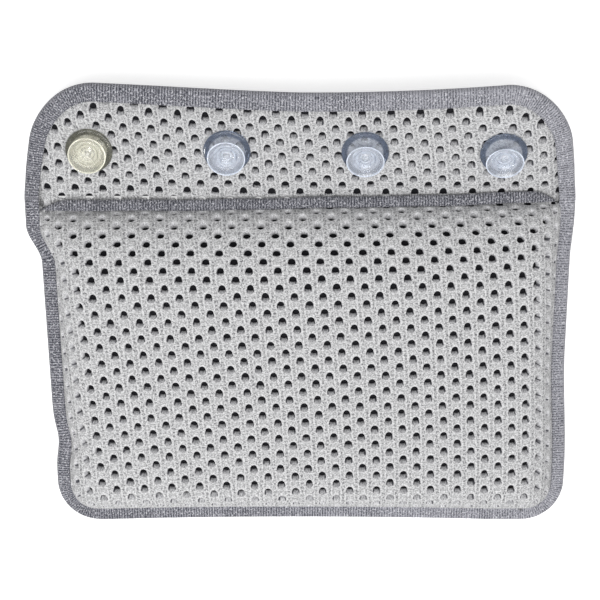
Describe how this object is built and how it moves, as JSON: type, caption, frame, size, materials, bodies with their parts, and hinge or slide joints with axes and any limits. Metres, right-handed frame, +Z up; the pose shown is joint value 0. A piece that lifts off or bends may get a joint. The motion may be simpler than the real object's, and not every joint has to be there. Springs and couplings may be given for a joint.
{
  "type": "bath pillow",
  "caption": "Padded bath pillow in perforated air mesh with a knitted tape edge and a folding flap of clear suction cups.",
  "frame": {"origin": "middle of the footprint, on the surface the pillow lies on with its bather side down", "axes": "+X across the pillow, +Y from its foot towards the flap with the cups, +Z up towards the tub wall"},
  "size_m": [0.348, 0.2948, 0.0474],
  "materials": {
    "air_mesh": "light grey knitted spacer mesh with rows of holes",
    "knit_tape": "melange grey ribbed knit",
    "dark_cloth": "plain dark cloth",
    "clear_vinyl": "clear soft vinyl with a blue cast, glossy",
    "aged_vinyl": "clear soft vinyl gone yellow, glossy"
  },
  "bodies": {
    "cushion": {"tub_side_cover": "air_mesh", "bather_side_cover": "air_mesh", "bag_of_filling": "dark_cloth", "cushion_binding": "knit_tape", "fold_band": "knit_tape"},
    "flap": {"flap_mesh": "air_mesh", "flap_lining": "dark_cloth", "flap_binding": "knit_tape", "cup_1_front_washer": "aged_vinyl", "cup_1_back_washer": "aged_vinyl", "cup_2_front_washer": "clear_vinyl", "cup_2_back_washer": "clear_vinyl", "cup_3_front_washer": "clear_vinyl", "cup_3_back_washer": "clear_vinyl", "cup_4_front_washer": "clear_vinyl", "cup_4_back_washer": "clear_vinyl"},
    "cup_1": {"cup_1_bell": "aged_vinyl"},
    "cup_2": {"cup_2_bell": "clear_vinyl"},
    "cup_3": {"cup_3_bell": "clear_vinyl"},
    "cup_4": {"cup_4_bell": "clear_vinyl"}
  },
  "joints": [
    {"name": "flap_fold", "type": "hinge", "parent": "cushion", "child": "flap", "pos_m": [0, 0.07255, 0.0162], "axis": [1, 0, 0], "range_deg": [-15, 75], "stiffness_Nm_per_rad": 0.6},
    {"name": "cup_1_tilt", "type": "hinge", "parent": "flap", "child": "cup_1", "pos_m": [-0.13069, 0.10545, 0.02289], "axis": [0.9999, 0, 0.0171], "range_deg": [-6, 14], "stiffness_Nm_per_rad": 0.03},
    {"name": "cup_2_tilt", "type": "hinge", "parent": "flap", "child": "cup_2", "pos_m": [-0.04519, 0.10531, 0.02431], "axis": [0.9999, 0, 0.0171], "range_deg": [-10, 10], "stiffness_Nm_per_rad": 0.03},
    {"name": "cup_3_tilt", "type": "hinge", "parent": "flap", "child": "cup_3", "pos_m": [0.04031, 0.10517, 0.02572], "axis": [0.9999, 0, 0.0171], "range_deg": [-15, 5], "stiffness_Nm_per_rad": 0.03},
    {"name": "cup_4_tilt", "type": "hinge", "parent": "flap", "child": "cup_4", "pos_m": [0.12581, 0.10505, 0.02713], "axis": [0.9999, 0, 0.0171], "range_deg": [-15, 5], "stiffness_Nm_per_rad": 0.03}
  ]
}
